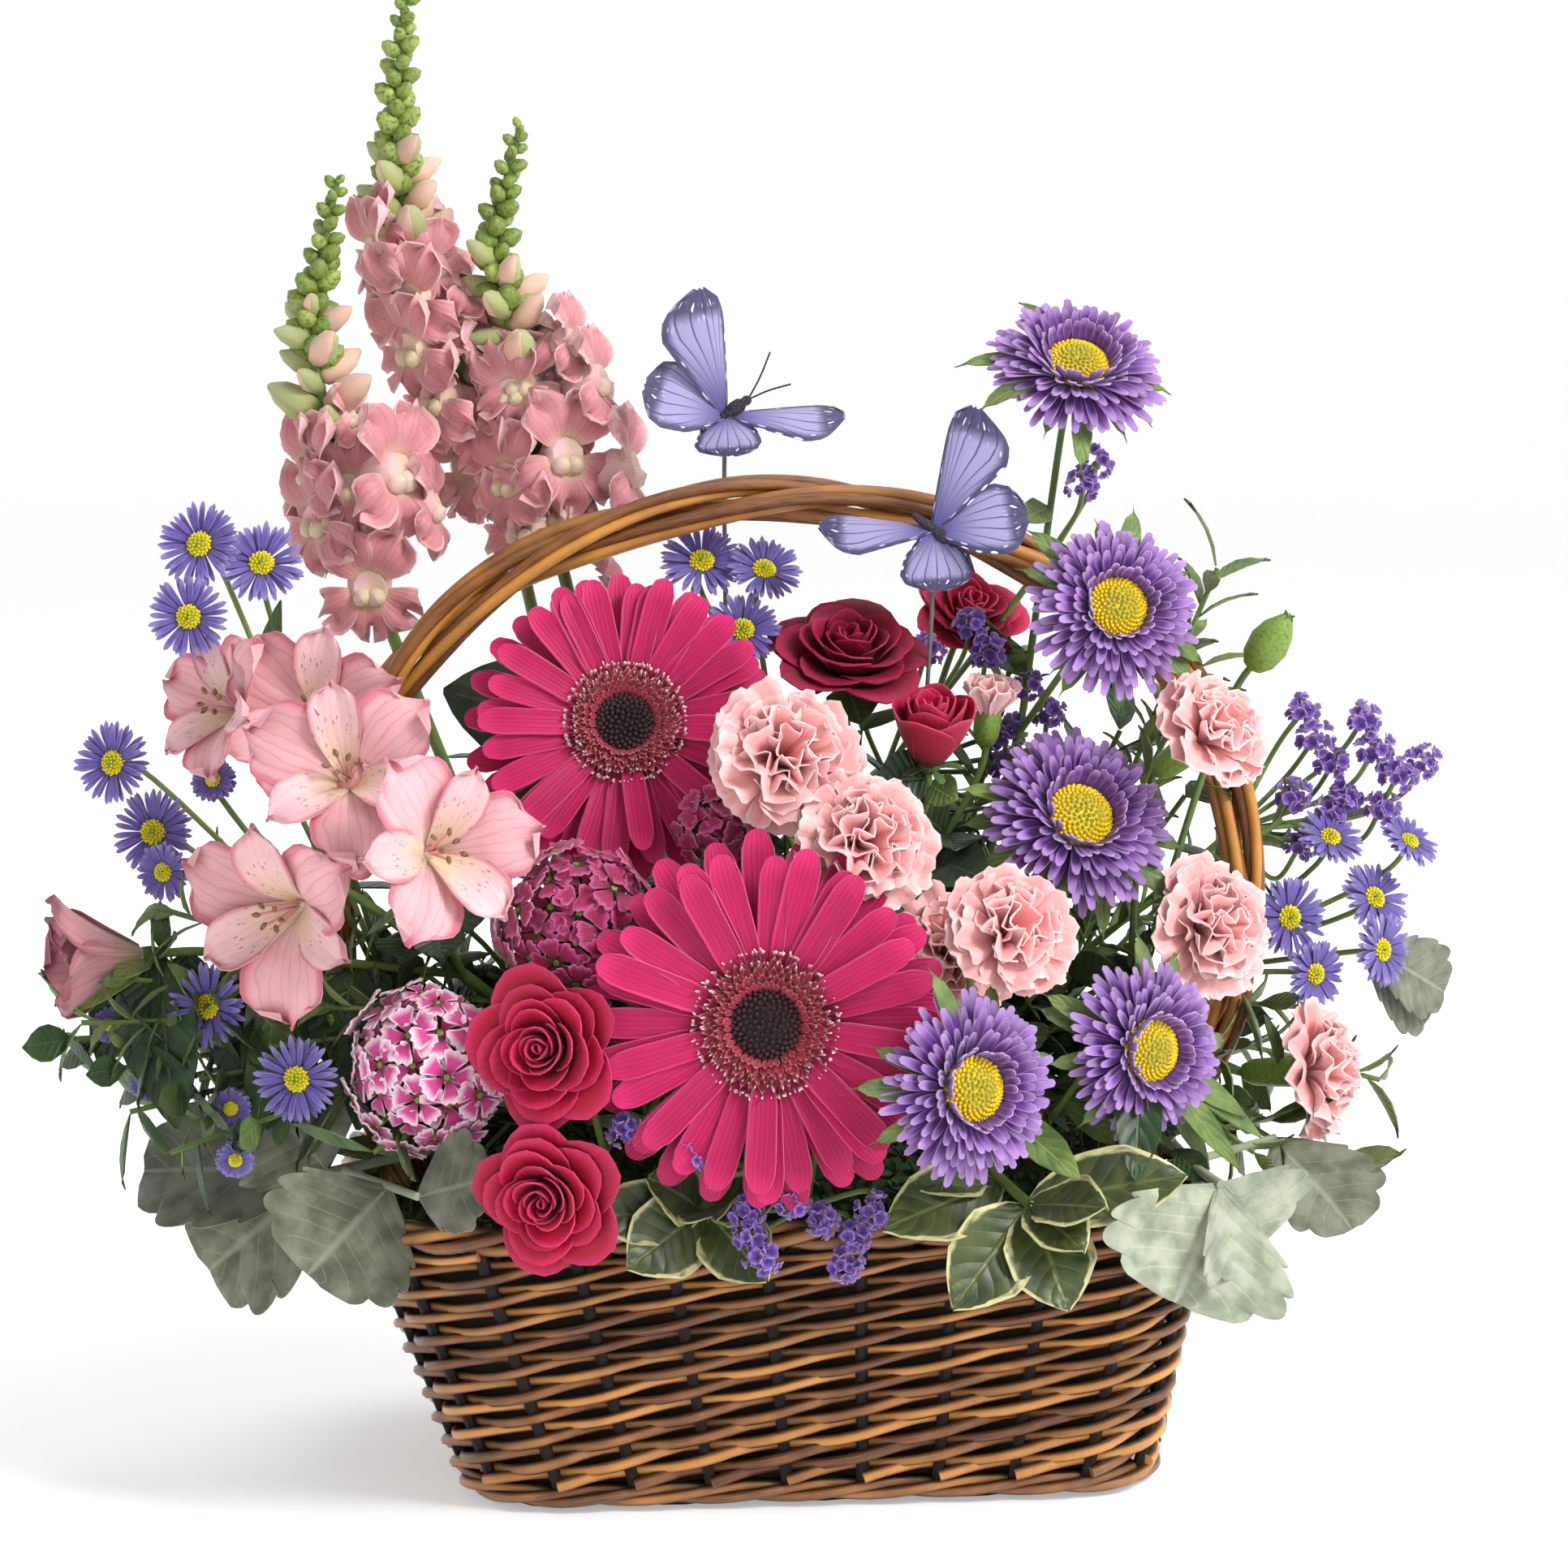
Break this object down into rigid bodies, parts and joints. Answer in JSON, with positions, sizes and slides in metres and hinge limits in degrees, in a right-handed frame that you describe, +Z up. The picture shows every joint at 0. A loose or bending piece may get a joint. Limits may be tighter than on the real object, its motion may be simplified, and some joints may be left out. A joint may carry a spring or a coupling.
{
  "type": "flower basket arrangement",
  "caption": "Woven willow basket with a tall twisted handle, full of mixed pink and purple cut flowers, grey and variegated leaves and small butterflies on wires",
  "frame": {"origin": "middle of the basket's flat underside, on the table", "axes": "+X to the right as seen from the front, +Y to the back, +Z up; the flowers face -Y"},
  "size_m": [0.4347, 0.2288, 0.4572],
  "materials": {
    "willow": "stained woven willow, satin",
    "handle_willow": "peeled and stained willow rods, satin",
    "liner": "thin dark green plastic",
    "foam": "wet floral foam, open grain",
    "stem_green": "fresh stems and leaves",
    "gerbera_petal": "soft satin petals",
    "gerbera_eye": "dense short florets",
    "rose_petal": "velvet petals",
    "carnation_petal": "thin frilled petals",
    "aster_head": "narrow rays round a yellow disc",
    "alstroemeria_petal": "thin striped petals",
    "snapdragon_spike": "soft florets and green buds",
    "small_aster": "fine rays on wiry stems",
    "statice": "papery clusters on wiry stems",
    "sweet_william": "small fringed florets",
    "felt_leaf": "felted grey-green leaves",
    "pittosporum_leaf": "glossy leaves with pale margins",
    "butterfly": "printed fabric wings on thin wire"
  },
  "bodies": {
    "root": {"basket": "willow", "handle_rod_1": "handle_willow", "handle_rod_2": "handle_willow", "handle_rod_3": "handle_willow", "liner": "liner", "foam": "foam", "gerbera_back_stem": "stem_green", "gerbera_front_stem": "stem_green", "back_rose_stems": "stem_green", "front_rose_stems": "stem_green", "middle_carnation_stems": "stem_green", "inner_carnation_stems": "stem_green", "right_carnation_stems": "stem_green", "back_aster_stems": "stem_green", "middle_aster_stem": "stem_green", "front_aster_stems": "stem_green", "alstroemeria_stems": "stem_green", "gerbera_back_petals": "gerbera_petal", "gerbera_front_petals": "gerbera_petal", "gerbera_back_eye": "gerbera_eye", "gerbera_front_eye": "gerbera_eye", "rose_1_petals": "rose_petal", "rose_2_petals": "rose_petal", "rose_3_petals": "rose_petal", "rose_4_petals": "rose_petal", "rose_5_petals": "rose_petal", "carnation_1_petals": "carnation_petal", "carnation_2_petals": "carnation_petal", "carnation_3_petals": "carnation_petal", "carnation_4_petals": "carnation_petal", "carnation_5_petals": "carnation_petal", "carnation_6_petals": "carnation_petal", "carnation_7_petals": "carnation_petal", "aster_1_petals": "aster_head", "aster_2_petals": "aster_head", "aster_3_petals": "aster_head", "aster_4_petals": "aster_head", "aster_5_petals": "aster_head", "alstroemeria_1_petals": "alstroemeria_petal", "alstroemeria_2_petals": "alstroemeria_petal", "alstroemeria_3_petals": "alstroemeria_petal", "alstroemeria_4_petals": "alstroemeria_petal", "alstroemeria_5_petals": "alstroemeria_petal", "snapdragon_left": "snapdragon_spike", "snapdragon_tall": "snapdragon_spike", "snapdragon_right": "snapdragon_spike", "monte_left_spray": "small_aster", "monte_back_spray": "small_aster", "monte_right_spray": "small_aster", "statice_right_spray": "statice", "statice_middle_spray": "statice", "statice_front_spray": "statice", "sweet_william_left": "sweet_william", "sweet_william_middle": "sweet_william", "dusty_left_bunch": "felt_leaf", "dusty_right_bunch": "felt_leaf", "pittosporum_left_sprig": "pittosporum_leaf", "pittosporum_right_sprig": "pittosporum_leaf", "butterfly_left": "butterfly", "butterfly_right": "butterfly"}
  },
  "joints": []
}
